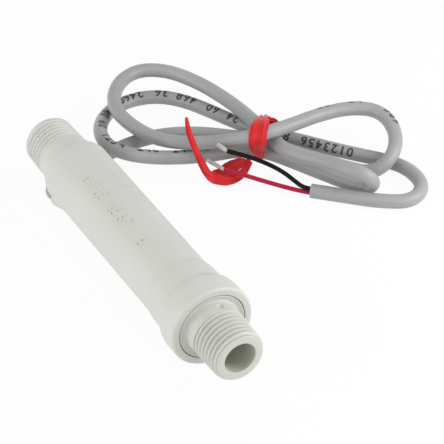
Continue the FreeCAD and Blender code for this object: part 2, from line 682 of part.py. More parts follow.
def make_tie():
    """A flat band round the bundle, and the loose tail that leaves its lower corner."""
    along = FreeCAD.Rotation(Z_AXIS, BUNDLE_YAW).multVec(X_AXIS)
    across = Z_AXIS.cross(along)
    corners = [FreeCAD.Vector(x, y, 0) for x, y in BUNDLE_CORNERS]
    bundle = Part.makePolygon(corners + corners[:1])
    inner_offset = CABLE_RADIUS.value + size("tie_room").value
    inside = Part.Face(bundle.makeOffset2D(inner_offset))
    outside = Part.Face(bundle.makeOffset2D(inner_offset + size("tie_thickness").value))
    width = size("tie_width").value
    band = outside.cut(inside).extrude(FreeCAD.Vector(0, 0, width))
    band.translate(FreeCAD.Vector(0, 0, -width / 2))
    band.Placement = FreeCAD.Placement(
        FreeCAD.Vector(*TIE_FOOT, 0), FreeCAD.Rotation(across, Z_AXIS, along, "XYZ")
    ).multiply(band.Placement)
    stations = [FreeCAD.Vector(*point) for point in TAIL_ROUTE]
    sections = []
    for i, (station, (share, turn)) in enumerate(zip(stations, TAIL_TWIST)):
        ahead = stations[min(i + 1, len(stations) - 1)] - stations[max(i - 1, 0)]
        flat = FreeCAD.Rotation(Z_AXIS, turn).multVec(along)
        thin = ahead.cross(flat).normalize() * (size("tie_thickness").value / 2)
        wide = thin.cross(ahead).normalize() * (size("tail_width").value / 2 * share)
        ring = [station + wide + thin, station - wide + thin, station - wide - thin, station + wide - thin]
        sections.append(Part.makePolygon(ring + ring[:1]))
    tail = Part.makeLoft(sections, True, True)
    piece = doc.addObject("Part::Feature", "tie_ribbon")
    piece.Label = "tie_ribbon"
    piece.Shape = band.fuse(tail).removeSplitter()


def check_and_write(labels):
    doc.recompute()
    for item in doc.Objects:
        if "Invalid" in item.State or "Error" in item.State:
            raise ValueError(f"{item.Label} failed: {item.State}")
    os.makedirs("parts", exist_ok=True)
    shapes = {label: doc.getObjectsByLabel(label)[0].Shape for label in labels}
    for label, shape in shapes.items():
        if shape.isNull() or not shape.isValid():
            raise ValueError(f"{label} has no valid shape")
    for label, shape in shapes.items():
        shape.exportStep(f"parts/{label}.step")


make_end_fitting()
make_end_fitting_seal()
make_housing()
make_piston()
make_magnet()
make_spring()
make_reed_switch()
make_leads_and_potting()
make_cable()
make_tie()
check_and_write([
    "housing", "end_fitting", "end_fitting_seal",
    "piston", "piston_magnet", "magnet_plug", "return_spring",
    "reed_capsule", "reed_blade_inner", "reed_blade_outer", "solder_joint_inner", "solder_joint_outer",
    "inner_lead_red", "inner_lead_black", "potting",
    "cable_jacket", "wire_red", "wire_black", "strands_red", "strands_black", "tie_ribbon",
])
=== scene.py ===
import math

import bmesh
import bpy
from mathutils import Matrix, Vector


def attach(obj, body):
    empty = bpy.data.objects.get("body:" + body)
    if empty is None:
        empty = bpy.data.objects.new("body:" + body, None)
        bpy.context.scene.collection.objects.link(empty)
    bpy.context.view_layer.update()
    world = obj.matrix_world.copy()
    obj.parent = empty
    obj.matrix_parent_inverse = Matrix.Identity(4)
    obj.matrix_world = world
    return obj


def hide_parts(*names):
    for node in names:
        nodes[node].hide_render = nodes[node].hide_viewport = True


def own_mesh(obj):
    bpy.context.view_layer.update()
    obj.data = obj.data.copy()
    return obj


# An in-line piston flow sensor with its tied-up cable, in the CAD's frame: X along the flow from the
# inlet fitting to the outlet thread, Z up from the surface that it lies on. The pieces' sizes are in
# millimetres, which MM turns into the frame's metres.
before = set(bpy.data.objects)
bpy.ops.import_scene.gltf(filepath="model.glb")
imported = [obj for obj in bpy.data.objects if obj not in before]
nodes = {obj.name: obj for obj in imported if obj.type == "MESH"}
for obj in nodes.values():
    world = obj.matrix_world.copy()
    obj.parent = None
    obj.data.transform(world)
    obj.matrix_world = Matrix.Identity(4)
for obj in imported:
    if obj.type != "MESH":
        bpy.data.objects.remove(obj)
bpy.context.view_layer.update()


# ---- Housing
# One injection moulding in off-white plastic: a bell that takes the end fitting, a plain barrel, a
# narrow neck with a moulded taper pipe thread, and a small hood in the barrel's wall where the cable
# comes out.
MM = 0.001
BELL_RADIUS = 10.87
AXIS_HEIGHT = BELL_RADIUS  # the sensor lies on its bell
BARREL_RADIUS = 9.0
BORE_RADIUS = 5.2
OUTLET_RADIUS = 4.0
BELL_RIM, OUTLET_FACE = -37.6, 50.8
NECK_END = 40.7
TURNED_SIDES = 160
THREAD_PITCH = 25.4 / 18
THREAD_DEPTH = 1.05
GROOVE_HALF = 0.42  # of a pitch
RINGS_PER_PITCH = 16
FACING_TURN = math.radians(57)  # the side of the barrel that the camera sees
# Painted shade: out to this far from the axis, the inside of a port takes a darker, warmer colour.
PAINTED_SHADE_REACH = 4.2  # how far from the axis a port's inside colour goes


class Shade:
    """A socket of a material's nodes. Arithmetic on it adds Math nodes."""

    def __init__(self, tree, socket=None):
        self.tree = tree
        self.socket = socket

    def node(self, kind, settings=None, sockets=None, out=0):
        """Adds a node with its settings, then the values or links of its sockets."""
        made = self.tree.nodes.new(kind)
        for name, value in (settings or {}).items():
            setattr(made, name, value)
        for name, value in (sockets or {}).items():
            if isinstance(value, Shade):
                self.tree.links.new(value.socket, made.inputs[name])
            else:
                made.inputs[name].default_value = value
        return Shade(self.tree, made.outputs[out] if len(made.outputs) else None)

    def math(self, operation, left, right):
        """One Math node."""
        return self.node("ShaderNodeMath", {"operation": operation}, {0: left, 1: right})

    def __add__(self, other):
        return self.math("ADD", self, other)

    __radd__ = __add__

    def __mul__(self, other):
        return self.math("MULTIPLY", self, other)

    __rmul__ = __mul__

    def __sub__(self, other):
        return self.math("SUBTRACT", self, other)

    def __rsub__(self, other):
        return self.math("SUBTRACT", other, self)

    def mix(self, first, second):
        """Blends two colours by this value."""
        settings = {"data_type": "RGBA"}
        return self.node("ShaderNodeMix", settings, {0: self, 6: first, 7: second}, out=2)

    def noise(self, scale, detail):
        """Cloudy noise in the object's own space. At a scale of 1000 its grain is about 1 mm."""
        place = self.node("ShaderNodeTexCoord", out="Object")
        return self.node(
            "ShaderNodeTexNoise", sockets={"Vector": place, "Scale": scale, "Detail": detail}
        )

    def bump(self, height, strength, depth):
        """Turns heights into the slope of a surface."""
        return self.node(
            "ShaderNodeBump", sockets={"Height": height, "Strength": strength, "Distance": depth}
        )


def colour(red, green, blue):
    """A colour as a picture shows it, 0 to 255, in the linear values that a shader takes."""
    shares = [c / 255 for c in (red, green, blue)]
    linear = [c / 12.92 if c <= 0.04045 else ((c + 0.055) / 1.055) ** 2.4 for c in shares]
    return (*linear, 1.0)


def new_finish(name):
    """An empty material, and the start of its nodes."""
    finish = bpy.data.materials.new(name)
    finish.use_nodes = True
    finish.node_tree.nodes.clear()
    return finish, Shade(finish.node_tree)


def surface(start, sockets):
    """Ends a material in one principled shader."""
    shader = start.node("ShaderNodeBsdfPrincipled", sockets=sockets)
    start.node("ShaderNodeOutputMaterial", sockets={"Surface": shader})


def moulded_plastic(name, pale, deep, roughness, painted_port_shade=None):
    """Satin moulded plastic: faint clouding from the melt and the mould's fine spark-eroded grain.
    An inside colour is painted shade for a port: darker and warmer than the outside, standing for the
    shade in the port and the light that has come through its plastic."""
    finish, start = new_finish(name)
    clouds = start.noise(70, 4)
    grain = start.noise(3200, 2)
    skin = clouds.mix(pale, deep)
    if painted_port_shade:
        # Painted shade: within the port, near the axis, the colour turns darker and warmer.
        place = start.node("ShaderNodeTexCoord", out="Object")
        across = start.node("ShaderNodeSeparateXYZ", sockets={0: place}, out="Y")
        height = start.node("ShaderNodeSeparateXYZ", sockets={0: place}, out="Z")
        above = height - AXIS_HEIGHT * MM
        squared_radius = across * across + above * above
        in_painted_shade = start.math("LESS_THAN", squared_radius, (PAINTED_SHADE_REACH * MM) ** 2)
        skin = in_painted_shade.mix(skin, painted_port_shade)
    surface(start, {
        "Base Color": skin,
        "Roughness": roughness - 0.08 + grain * 0.16,
        "Normal": start.bump(grain, 0.10, 0.0001),
    })
    return finish


def add_mesh(name, made):
    """Makes an object from bmesh work, with its faces turned outwards."""
    bmesh.ops.recalc_face_normals(made, faces=made.faces)
    mesh = bpy.data.meshes.new(name)
    made.to_mesh(mesh)
    made.free()
    piece = bpy.data.objects.new(name, mesh)
    bpy.context.scene.collection.objects.link(piece)
    return piece


def join_rows(made, rows, closed):
    """Faces between loops of points, from the last back to the first or with a cap at each end."""
    for row, following in zip(rows, rows[1:] + rows[:1] if closed else rows[1:]):
        for k in range(len(row)):
            after = (k + 1) % len(row)
            made.faces.new((row[k], row[after], following[after], following[k]))
    if not closed:
        made.faces.new(rows[0])
        made.faces.new(rows[-1])


def shade_smooth(piece, sharp_angle):
    """Shades a mesh smooth, but for edges sharper than an angle in degrees."""
    piece.data.shade_smooth()
    piece.data.set_sharp_from_angle(angle=math.radians(sharp_angle))


def dress(piece, finish):
    """Gives a new piece its finish and the slot that the record holds for it."""
    piece.data.materials.clear()
    piece.data.materials.append(finish)


def lathe(name, rings):
    """A closed mesh turned about the bore's axis. A ring is its x and its radius, which may be a
    function of the turn."""
    made = bmesh.new()
    rows = []
    for x, radius in rings:
        row = []
        for k in range(TURNED_SIDES):
            turn = math.tau * k / TURNED_SIDES
            r = radius(turn) if callable(radius) else radius
            row.append(made.verts.new(
                (x * MM, r * math.cos(turn) * MM, (AXIS_HEIGHT + r * math.sin(turn)) * MM)
            ))
        rows.append(row)
    join_rows(made, rows, closed=True)
    return add_mesh(name, made)


def eased(start, corner, end, steps):
    """Rings along a soft curve that leaves start and reaches end in line with the corner."""
    rings = []
    for k in range(steps + 1):
        t = k / steps
        rings.append(tuple(
            a * (1 - t) ** 2 + 2 * b * t * (1 - t) + c * t * t
            for a, b, c in zip(start, corner, end)
        ))
    return rings


def ramp(x, start, end):
    """Rises smoothly from 0 at start to 1 at end."""
    t = min(1.0, max(0.0, (x - start) / (end - start)))
    return t * t * (3 - 2 * t)


def thread_rings(start, end, crest, groove, fade):
    """Rings of a right-hand pipe thread with rounded crests. Crest and fade are functions of x, and
    groove is where a groove passes the side that faces the camera."""
    def ring(x):
        def radius(turn):
            turns_along = (x - groove) / THREAD_PITCH - (turn - FACING_TURN) / math.tau
            from_groove = abs(turns_along - round(turns_along))
            return crest(x) - THREAD_DEPTH * (1 - ramp(from_groove, 0.0, GROOVE_HALF)) * fade(x)
        return x, radius

    count = math.ceil(abs(end - start) / THREAD_PITCH * RINGS_PER_PITCH)
    return [ring(start + (end - start) * k / count) for k in range(count + 1)]


# The housing's profile, from the bell's rim along the outside to the outlet, then back inside.
housing_rings = [(BELL_RIM + 0.1, 8.9), (BELL_RIM, 9.0)]
housing_rings += eased((BELL_RIM, 9.97), (BELL_RIM, BELL_RADIUS), (BELL_RIM + 0.9, BELL_RADIUS), 8)
housing_rings += eased((-33.0, BELL_RADIUS), (-31.0, BELL_RADIUS), (-29.5, 9.88), 14)
housing_rings += eased((-29.5, 9.88), (-29.0, 9.57), (-28.4, 9.56), 5)[1:]
housing_rings += eased((-24.4, 9.48), (-22.9, 9.42), (-21.9, 9.07), 10)
housing_rings += eased((-21.9, 9.07), (-21.6, BARREL_RADIUS), (-21.0, BARREL_RADIUS), 5)[1:]
housing_rings += [(x, BARREL_RADIUS) for x in (-10, 0, 10, 18, 22, 26, 30)]
housing_rings += eased((33.2, BARREL_RADIUS), (34.6, BARREL_RADIUS), (35.1, 8.1), 10)
housing_rings += eased((35.1, 8.1), (36.2, 7.62), (40.6, 7.04), 10)[1:]
housing_rings += thread_rings(
    NECK_END,
    OUTLET_FACE,
    crest=lambda x: min(7.04 - (x - NECK_END) * 0.028, 6.1 + (OUTLET_FACE - x) * 0.6),
    groove=48.1,
    fade=lambda x: 0.62 * (1 - ramp(x, 48.6, 49.6)) * ramp(x, NECK_END, 41.5),
)
housing_rings += [(OUTLET_FACE, OUTLET_RADIUS + 0.2), (OUTLET_FACE - 0.2, OUTLET_RADIUS)]
housing_rings += [(24.8, OUTLET_RADIUS), (24.8, BORE_RADIUS), (-21.4, BORE_RADIUS)]
housing_rings += [(-21.4, 7.0), (-33.6, 7.0), (-33.6, 8.9)]
housing = lathe("housing_shell", housing_rings)

# The hood, and the slanted hole in it that the cable comes out of.
HOOD_TURN = math.radians(-61)
HOOD_MOUTH, MOUTH_FROM_AXIS = 36.0, 9.1
CABLE_TILT = math.tan(math.radians(13))
HOOD_SIDES = 56


def slanted_rings(name, rings):
    """A closed mesh through circles across X that follow the cable's hole."""
    made = bmesh.new()
    rows = []
    for x, radius in rings:
        out = MOUTH_FROM_AXIS + (x - HOOD_MOUTH) * CABLE_TILT
        y, z = out * math.cos(HOOD_TURN), AXIS_HEIGHT + out * math.sin(HOOD_TURN)
        rows.append([
            made.verts.new((x * MM, (y + radius * math.cos(t)) * MM, (z + radius * math.sin(t)) * MM))
            for t in (math.tau * k / HOOD_SIDES for k in range(HOOD_SIDES))
        ])
    join_rows(made, rows, closed=False)
    return add_mesh(name, made)


def shape_with(piece, tool, operation):
    """Adds a tool's shape to a piece, or cuts it away, and clears the tool up."""
    modifier = piece.modifiers.new("shape", "BOOLEAN")
    modifier.operation, modifier.solver, modifier.object = operation, "EXACT", tool
    shaped = bpy.data.meshes.new_from_object(
        piece.evaluated_get(bpy.context.evaluated_depsgraph_get())
    )
    piece.modifiers.clear()
    piece.data = shaped
    bpy.data.objects.remove(tool)


hood = slanted_rings("hood", [(26.4, 2.05), (35.4, 2.48), (35.8, 2.42), (HOOD_MOUTH, 2.28)])
shape_with(housing, hood, "UNION")
cable_hole = slanted_rings("cable_hole", [(30.8, 2.1), (HOOD_MOUTH, 2.1), (40.2, 3.0)])
shape_with(housing, cable_hole, "DIFFERENCE")
shade_smooth(housing, 35)
housing_finish = moulded_plastic(
    "housing_plastic", colour(212, 214, 207), colour(206, 208, 201), roughness=0.42
)
dress(housing, housing_finish)
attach(housing, "sensor")
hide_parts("housing")

# Raised figures: plain numbers that the mould leaves along the barrel, in two rows.
RAISED_FIGURES = [  # figures, the x of the first, their turn, and how far they stand out
    ("0123 4567", 20.6, 62, 0.26), ("8", -8.6, 61, 0.26), ("246 80", 18.6, 113, 0.1),
]
RAISED_SIZE, RAISED_BOLD = 4.4, 0.02
FIGURE_SPACING = 1.25
FIGURE_EDGE = 0.45  # longer edges are split, so that a figure bends with its round


def figures_mesh(figures, size, bold, height):
    """Plain figures as a fine mesh, flat or with a height, to be laid on a round."""
    row = bpy.data.curves.new("figures", "FONT")
    row.body, row.size, row.space_character = figures, size * MM, FIGURE_SPACING
    row.align_y, row.offset, row.extrude = "CENTER", bold * MM, height * 0.7 * MM
    row.bevel_depth, row.bevel_resolution = height * 0.3 * MM, 1
    holder = bpy.data.objects.new("figures", row)
    bpy.context.scene.collection.objects.link(holder)
    bpy.context.view_layer.update()
    flat = bpy.data.meshes.new_from_object(
        holder.evaluated_get(bpy.context.evaluated_depsgraph_get())
    )
    part = bmesh.new()
    part.from_mesh(flat)
    bmesh.ops.triangulate(part, faces=part.faces)
    for _ in range(3):
        long_edges = [edge for edge in part.edges if edge.calc_length() > FIGURE_EDGE * MM]
        bmesh.ops.subdivide_edges(part, edges=long_edges, cuts=1)
        bmesh.ops.triangulate(part, faces=part.faces)
    bpy.data.meshes.remove(flat)
    bpy.data.objects.remove(holder)
    return part


def joined_figures(name, parts):
    """One object of several meshes of figures."""
    mesh = bpy.data.meshes.new(name)
    made = bmesh.new()
    for part in parts:
        part.to_mesh(mesh)
        part.free()
        made.from_mesh(mesh)
    made.to_mesh(mesh)
    made.free()
    piece = bpy.data.objects.new(name, mesh)
    bpy.context.scene.collection.objects.link(piece)
    return piece


raised_parts = []
for figures, first, turn, height in RAISED_FIGURES:
    part = figures_mesh(figures, RAISED_SIZE, RAISED_BOLD, height)
    for vertex in part.verts:
        angle = math.radians(turn) + vertex.co.y / (BARREL_RADIUS * MM)
        r = BARREL_RADIUS * MM + vertex.co.z
        x = first * MM - vertex.co.x
        vertex.co = (x, r * math.cos(angle), AXIS_HEIGHT * MM + r * math.sin(angle))
    raised_parts.append(part)
raised_figures = joined_figures("raised_figures", raised_parts)
shade_smooth(raised_figures, 40)
dress(raised_figures, housing_finish)
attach(raised_figures, "sensor")


# ---- Reed switch in its pocket
# A glass capsule with two nickel-iron blades, soldered to the cable's two leads and sunk in casting
# resin in a pocket of the barrel's wall. The shapes are the CAD's own, with their real finishes.
def dress_node(name, finish):
    """Gives a CAD node's own shape a finish."""
    nodes[name].data.materials.clear()
    nodes[name].data.materials.append(finish)


def worked_metal(name, pale, deep, roughness, scale):
    """Bare metal with the faint streaks that drawing or tinning leaves."""
    finish, start = new_finish(name)
    streaks = start.noise(scale, 5)
    surface(start, {
        "Base Color": streaks.mix(pale, deep),
        "Metallic": 1.0,
        "Roughness": roughness - 0.1 + streaks * 0.2,
        "Normal": start.bump(streaks, 0.12, 0.00005),
    })
    return finish


def wire_insulation(name, pale, deep, shine):
    """Glossy extruded wire insulation."""
    finish, start = new_finish(name)
    clouds = start.noise(420, 3)
    fine = start.noise(2600, 2)
    surface(start, {
        "Base Color": clouds.mix(pale, deep),
        "Roughness": 0.2 + fine * 0.12,
        "Normal": start.bump(fine, 0.06, 0.00005),
        "Specular IOR Level": shine,
    })
    return finish


glass, start = new_finish("reed_glass")
surface(start, {
    "Base Color": colour(214, 230, 220),
    "Roughness": 0.02 + start.noise(900, 2) * 0.06,
    "IOR": 1.5,
    "Transmission Weight": 1.0,
})
resin, start = new_finish("potting_resin")
resin_clouds = start.noise(240, 4)
surface(start, {
    "Base Color": resin_clouds.mix(colour(122, 98, 62), colour(88, 66, 40)),
    "Roughness": 0.18 + resin_clouds * 0.12,
    "Normal": start.bump(resin_clouds, 0.1, 0.0002),
    "Coat Weight": 0.3,
})
blade_metal = worked_metal(
    "reed_metal", colour(206, 202, 192), colour(176, 172, 164), roughness=0.3, scale=1400
)
solder = worked_metal(
    "solder", colour(204, 204, 206), colour(160, 160, 164), roughness=0.42, scale=800
)
red_insulation = wire_insulation(
    "red_insulation", colour(198, 34, 74), colour(170, 22, 58), shine=0.18
)
black_insulation = wire_insulation(
    "black_insulation", colour(17, 17, 18), colour(10, 10, 11), shine=0.12
)
for name, finish in {
    "reed_capsule": glass,
    "reed_blade_inner": blade_metal,
    "reed_blade_outer": blade_metal,
    "solder_joint_inner": solder,
    "solder_joint_outer": solder,
    "inner_lead_red": red_insulation,
    "inner_lead_black": black_insulation,
    "potting": resin,
}.items():
    dress_node(name, finish)


# ---- Return spring
# Stainless wire wound into an open coil with a closed turn at each end. It sits on the step in the
# bore, bears on the piston's shoulder and closes up as the flow pushes the piston in.
SPRING_START, SPRING_SEAT = -5.0, 24.5
SPRING_RADIUS, SPRING_WIRE = 4.5, 0.25
SPRING_TURNS, TURN_POINTS = 9.0, 48
END_TURN_RISE = 0.52
SPRING_SIDES = 12


def sweep(made, line, radius, sides):
    """Adds a round tube along a line of points."""
    rows = []
    side = None
    for i, point in enumerate(line):
        ahead = (line[min(i + 1, len(line) - 1)] - line[max(i - 1, 0)]).normalized()
        if side is None:
            side = ahead.orthogonal().normalized()
        side = (side - ahead * side.dot(ahead)).normalized()
        up = ahead.cross(side)
        rows.append([
            made.verts.new(point + (side * math.cos(t) + up * math.sin(t)) * radius)
            for t in (math.tau * k / sides for k in range(sides))
        ])
    join_rows(made, rows, closed=False)


spring_line = []
open_rise = (SPRING_SEAT - SPRING_START - 2 * END_TURN_RISE) / (SPRING_TURNS - 2)
for k in range(int(SPRING_TURNS * TURN_POINTS) + 1):
    turns = k / TURN_POINTS
    rise = END_TURN_RISE * (min(turns, 1.0) + max(turns - SPRING_TURNS + 1, 0.0))
    rise += open_rise * min(max(turns - 1, 0.0), SPRING_TURNS - 2)
    turn = math.tau * turns
    spring_line.append(Vector((
        SPRING_START + rise,
        SPRING_RADIUS * math.cos(turn),
        AXIS_HEIGHT + SPRING_RADIUS * math.sin(turn),
    )) * MM)
made = bmesh.new()
sweep(made, spring_line, SPRING_WIRE * MM, SPRING_SIDES)
spring = add_mesh("return_spring_coil", made)
shade_smooth(spring, 60)
spring_steel = worked_metal(
    "spring_steel", colour(214, 214, 216), colour(176, 176, 178), roughness=0.26, scale=2200
)
dress(spring, spring_steel)
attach(spring, "sensor")
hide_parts("return_spring")
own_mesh(spring)


# ---- Piston
# A moulded plunger that slides in the bore, with a sintered magnet pressed into its stem and a
# plastic plug that closes it in. The shapes are the CAD's own, with their real finishes.
piston_plastic = moulded_plastic(
    "piston_plastic", colour(196, 196, 186), colour(184, 184, 172), roughness=0.36
)
ferrite, start = new_finish("magnet_ferrite")
sinter = start.noise(1800, 6)
surface(start, {
    "Base Color": sinter.mix(colour(64, 64, 68), colour(92, 92, 96)),
    "Roughness": 0.55 + sinter * 0.2,
    "Normal": start.bump(sinter, 0.25, 0.0001),
})
dress_node("piston", piston_plastic)
dress_node("magnet_plug", piston_plastic)
dress_node("piston_magnet", ferrite)


# ---- End fitting and its seal
# The inlet's threaded end, moulded in a slightly creamier plastic. Its slightly dished flange sits
# flush in the bell's mouth and its spigot runs into the housing, sealed by a black rubber ring.
INLET_FACE = -50.8
INLET_RADIUS = 4.05
THREAD_START, THREAD_END = INLET_FACE + 0.66, -41.15
COLLAR_RADIUS = 7.05
FLANGE_FACE = BELL_RIM
SPIGOT_RADIUS, SPIGOT_END = 6.95, -21.5
SEAL_START, SEAL_END, SEAL_SEAT = -29.2, -27.65, 5.7
RIPPLES, RIPPLE_STEP, RIPPLE_DEPTH = 18, 0.35, 0.1  # the faint rings in the port

# The fitting's profile, from the port's rounded edge along the outside to the spigot, and back.
fitting_rings = [(INLET_FACE + 0.35, INLET_RADIUS)]
fitting_rings += eased(
    (INLET_FACE + 0.35, INLET_RADIUS), (INLET_FACE, INLET_RADIUS), (INLET_FACE, 4.4), 4
)[1:]
fitting_rings += [(INLET_FACE, 5.75), (INLET_FACE + 0.08, 6.05), (INLET_FACE + 0.22, 6.15)]
fitting_rings += eased(
    (INLET_FACE + 0.28, 6.1), (INLET_FACE + 0.42, 5.5), (INLET_FACE + 0.62, 6.4), 6
)
fitting_rings += thread_rings(
    THREAD_START,
    THREAD_END,
    crest=lambda x: min(6.77 + (x + 49.7) * 0.029, 6.43 + (x - THREAD_START) * 0.8),
    groove=-42.2,
    fade=lambda x: ramp(x, -50.0, -49.5) * (1 - 0.3 * ramp(x, -42.4, THREAD_END)),
)
fitting_rings += eased((-41.1, 7.08), (-40.8, COLLAR_RADIUS), (-40.4, COLLAR_RADIUS), 3)
fitting_rings += eased(
    (-38.3, COLLAR_RADIUS), (FLANGE_FACE + 0.55, COLLAR_RADIUS), (FLANGE_FACE + 0.4, 7.75), 8
)
fitting_rings += eased((FLANGE_FACE + 0.15, 8.2), (FLANGE_FACE, 8.4), (FLANGE_FACE, 8.55), 4)
fitting_rings += [(FLANGE_FACE + 0.1, 8.66), (FLANGE_FACE + 0.6, 8.76)]
fitting_rings += [(-36.6, 8.85), (-33.6, 8.85), (-33.6, SPIGOT_RADIUS)]
fitting_rings += [(SEAL_START, SPIGOT_RADIUS), (SEAL_START, SEAL_SEAT)]
fitting_rings += [(SEAL_END, SEAL_SEAT), (SEAL_END, SPIGOT_RADIUS)]
fitting_rings += [(SPIGOT_END, SPIGOT_RADIUS), (SPIGOT_END, INLET_RADIUS)]
fitting_rings += [
    (INLET_FACE + 6.6 - RIPPLE_STEP * k, INLET_RADIUS + RIPPLE_DEPTH * (k % 2))
    for k in range(RIPPLES)
]
fitting = lathe("end_fitting_turned", fitting_rings)

# Gate mark: the shallow round scar on the collar where the plastic entered the mould.
GATE_TURN, GATE_X, GATE_OUT, GATE_BALL = math.radians(100), -39.15, 7.75, 1.2
made = bmesh.new()
bmesh.ops.create_icosphere(made, subdivisions=4, radius=GATE_BALL * MM)
gate_middle = Vector((
    GATE_X, GATE_OUT * math.cos(GATE_TURN), AXIS_HEIGHT + GATE_OUT * math.sin(GATE_TURN)
)) * MM
bmesh.ops.translate(made, vec=gate_middle, verts=made.verts)
shape_with(fitting, add_mesh("gate_mark", made), "DIFFERENCE")
shade_smooth(fitting, 30)
fitting_plastic = moulded_plastic(
    "fitting_plastic",
    colour(211, 212, 205),
    colour(204, 205, 197),
    roughness=0.44,
    # painted shade in the port: darker and warmer than the fitting's outside
    painted_port_shade=colour(195, 197, 183),
)
dress(fitting, fitting_plastic)
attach(fitting, "sensor")
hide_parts("end_fitting")

rubber, start = new_finish("seal_rubber")
rubber_grain = start.noise(2400, 3)
surface(start, {
    "Base Color": rubber_grain.mix(colour(30, 30, 31), colour(44, 44, 45)),
    "Roughness": 0.5 + rubber_grain * 0.2,
    "Normal": start.bump(rubber_grain, 0.15, 0.0001),
})
dress_node("end_fitting_seal", rubber)


# ---- Cable
# A soft grey vinyl jacket, 3.8 mm thick, over two insulated wires. It comes out of the hood, turns
# under the outlet and lies folded into a loose bundle. Plain figures are printed along it in black.
CABLE_RADIUS = 1.9
CABLE_STEPS = 12
CABLE_ROUTE = [
    (31.3, 3.72, 4.0), (36.9, 4.3, 2.85), (40.4, 4.5, 1.95), (43.9, 1.3, 1.9),
    (45.9, -4.8, 1.9), (48.21, -15.81, 1.9),
    (49.71, -24, 1.9), (49.01, -32.7, 1.9), (45.31, -40.8, 1.9), (39.71, -47.89, 1.9),
    (32.15, -53.95, 2.66), (25.12, -59.19, 1.9), (17.72, -63.99, 1.9), (11.93, -67.89, 1.9),
    (5.58, -71.96, 2.39), (5.4, -78.28, 5.64), (12.33, -83.8, 7.59), (22.29, -84.87, 8.24),
    (26.69, -77.95, 8.89), (27.31, -68.34, 9.33), (25.3, -58.19, 10.41), (25.49, -50.01, 10.52),
    (28.34, -44.31, 9), (33.15, -39.54, 6.72), (37.84, -33.4, 5.75), (43.13, -27.81, 5.75),
    (50.86, -24.48, 6.4), (59.45, -23.53, 7.38), (68.4, -28.82, 7.59), (72.48, -36.96, 7.59),
    (68.88, -44.25, 7.48), (61.07, -49.26, 6.94), (51.17, -52.55, 6.4), (40.97, -53.84, 6.51),
    (30.78, -54.13, 6.51), (20.17, -54.22, 6.72), (13.8, -57.76, 7.3), (8.2, -60.6, 8.4),
    (2.9, -62.6, 9.1), (-1.6, -65.0, 9.35), (-1.92, -67.85, 5.86), (1.23, -68.29, 1.9),
    (6.23, -64.39, 1.9), (13.74, -60.66, 1.9), (21.44, -56.96, 1.9), (28.33, -52.17, 2.66),
    (32.72, -46.9, 1.9), (34.22, -39.81, 1.9), (36.9, -32.22, 2.06), (38.76, -24.85, 3.47),
    (40.87, -18.35, 5.42), (46.4, -14.61, 6.07), (56.2, -17.26, 4.99), (65.23, -25.07, 2.6),
    (67.76, -33.14, 1.9), (65.93, -40.23, 1.9), (59.85, -46.04, 1.9), (48.66, -51.01, 1.9),
    (35.44, -55.95, 2.66), (29.5, -63, 1.9), (21.95, -68.4, 1.9), (14.86, -74.09, 1.9),
    (9.33, -78.98, 1.9), (2.7, -82.19, 1.9), (-5.49, -81.18, 1.9), (-9.28, -74.54, 1.9),
    (-4.4, -66.88, 1.9), (1.9, -60.48, 1.9), (7.53, -54.61, 1.9),
]


def smooth_curve(name, route, radius, steps):
    """A curve of one open spline that a route's points shape, round if it has a radius."""
    curve = bpy.data.curves.new(name, "CURVE")
    curve.dimensions = "3D"
    spline = curve.splines.new("NURBS")
    spline.points.add(len(route) - 1)
    for point, place in zip(spline.points, route):
        point.co = (*(c * MM for c in place), 1.0)
    spline.order_u = 3
    spline.use_endpoint_u = True
    curve.resolution_u = spline.resolution_u = steps
    curve.bevel_depth = radius * MM
    curve.bevel_resolution = 6
    curve.use_fill_caps = True
    piece = bpy.data.objects.new(name, curve)
    bpy.context.scene.collection.objects.link(piece)
    return piece


def smooth_line(route, steps):
    """The points of that curve's own line."""
    guide = smooth_curve("guide", route, 0.0, steps)
    mesh = bpy.data.meshes.new_from_object(guide)
    line = [vertex.co.copy() for vertex in mesh.vertices]
    bpy.data.meshes.remove(mesh)
    bpy.data.objects.remove(guide)
    return line


cable = smooth_curve("cable", CABLE_ROUTE, CABLE_RADIUS, CABLE_STEPS)
vinyl, start = new_finish("jacket_vinyl")
vinyl_clouds = start.noise(160, 4)
vinyl_grain = start.noise(1700, 3)
# Its streaks from the extruder: U spans the whole cable, so noise over it is drawn out lengthwise.
along_cable = start.node("ShaderNodeTexCoord", out="UV")
vinyl_streaks = start.node(
    "ShaderNodeTexNoise", sockets={"Vector": along_cable, "Scale": 26, "Detail": 2}
)
vinyl_shade = vinyl_clouds * 0.4 + vinyl_streaks * 0.6
surface(start, {
    "Base Color": vinyl_shade.mix(colour(178, 179, 180), colour(142, 143, 144)),
    "Roughness": 0.3 + vinyl_grain * 0.1 + vinyl_streaks * 0.14,
    "Normal": start.bump(vinyl_grain, 0.10, 0.0001),
})
dress(cable, vinyl)
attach(cable, "sensor")
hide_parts("cable_jacket")

# The printing: plain figures in a row along the jacket, each a thin flat form laid on its round.
cable_line = smooth_line(CABLE_ROUTE, CABLE_STEPS)
cable_reach = [0.0]
for before, after in zip(cable_line, cable_line[1:]):
    cable_reach.append(cable_reach[-1] + (after - before).length)


def on_cable(distance, turn, lift):
    """A point on the jacket at a distance along it and a turn from its top, in metres and radians."""
    i = 0
    while i < len(cable_reach) - 2 and cable_reach[i + 1] < distance:
        i += 1
    share = (distance - cable_reach[i]) / (cable_reach[i + 1] - cable_reach[i])
    middle = cable_line[i].lerp(cable_line[i + 1], share)
    before = cable_line[max(i - 1, 0)]
    after = cable_line[min(i + 2, len(cable_line) - 1)]
    ahead = (after - before).normalized()
    top = Vector((0, 0, 1))
    top = (top - ahead * top.dot(ahead)).normalized()
    side = ahead.cross(top)
    return middle + (top * math.cos(turn) + side * math.sin(turn)) * (CABLE_RADIUS * MM + lift)


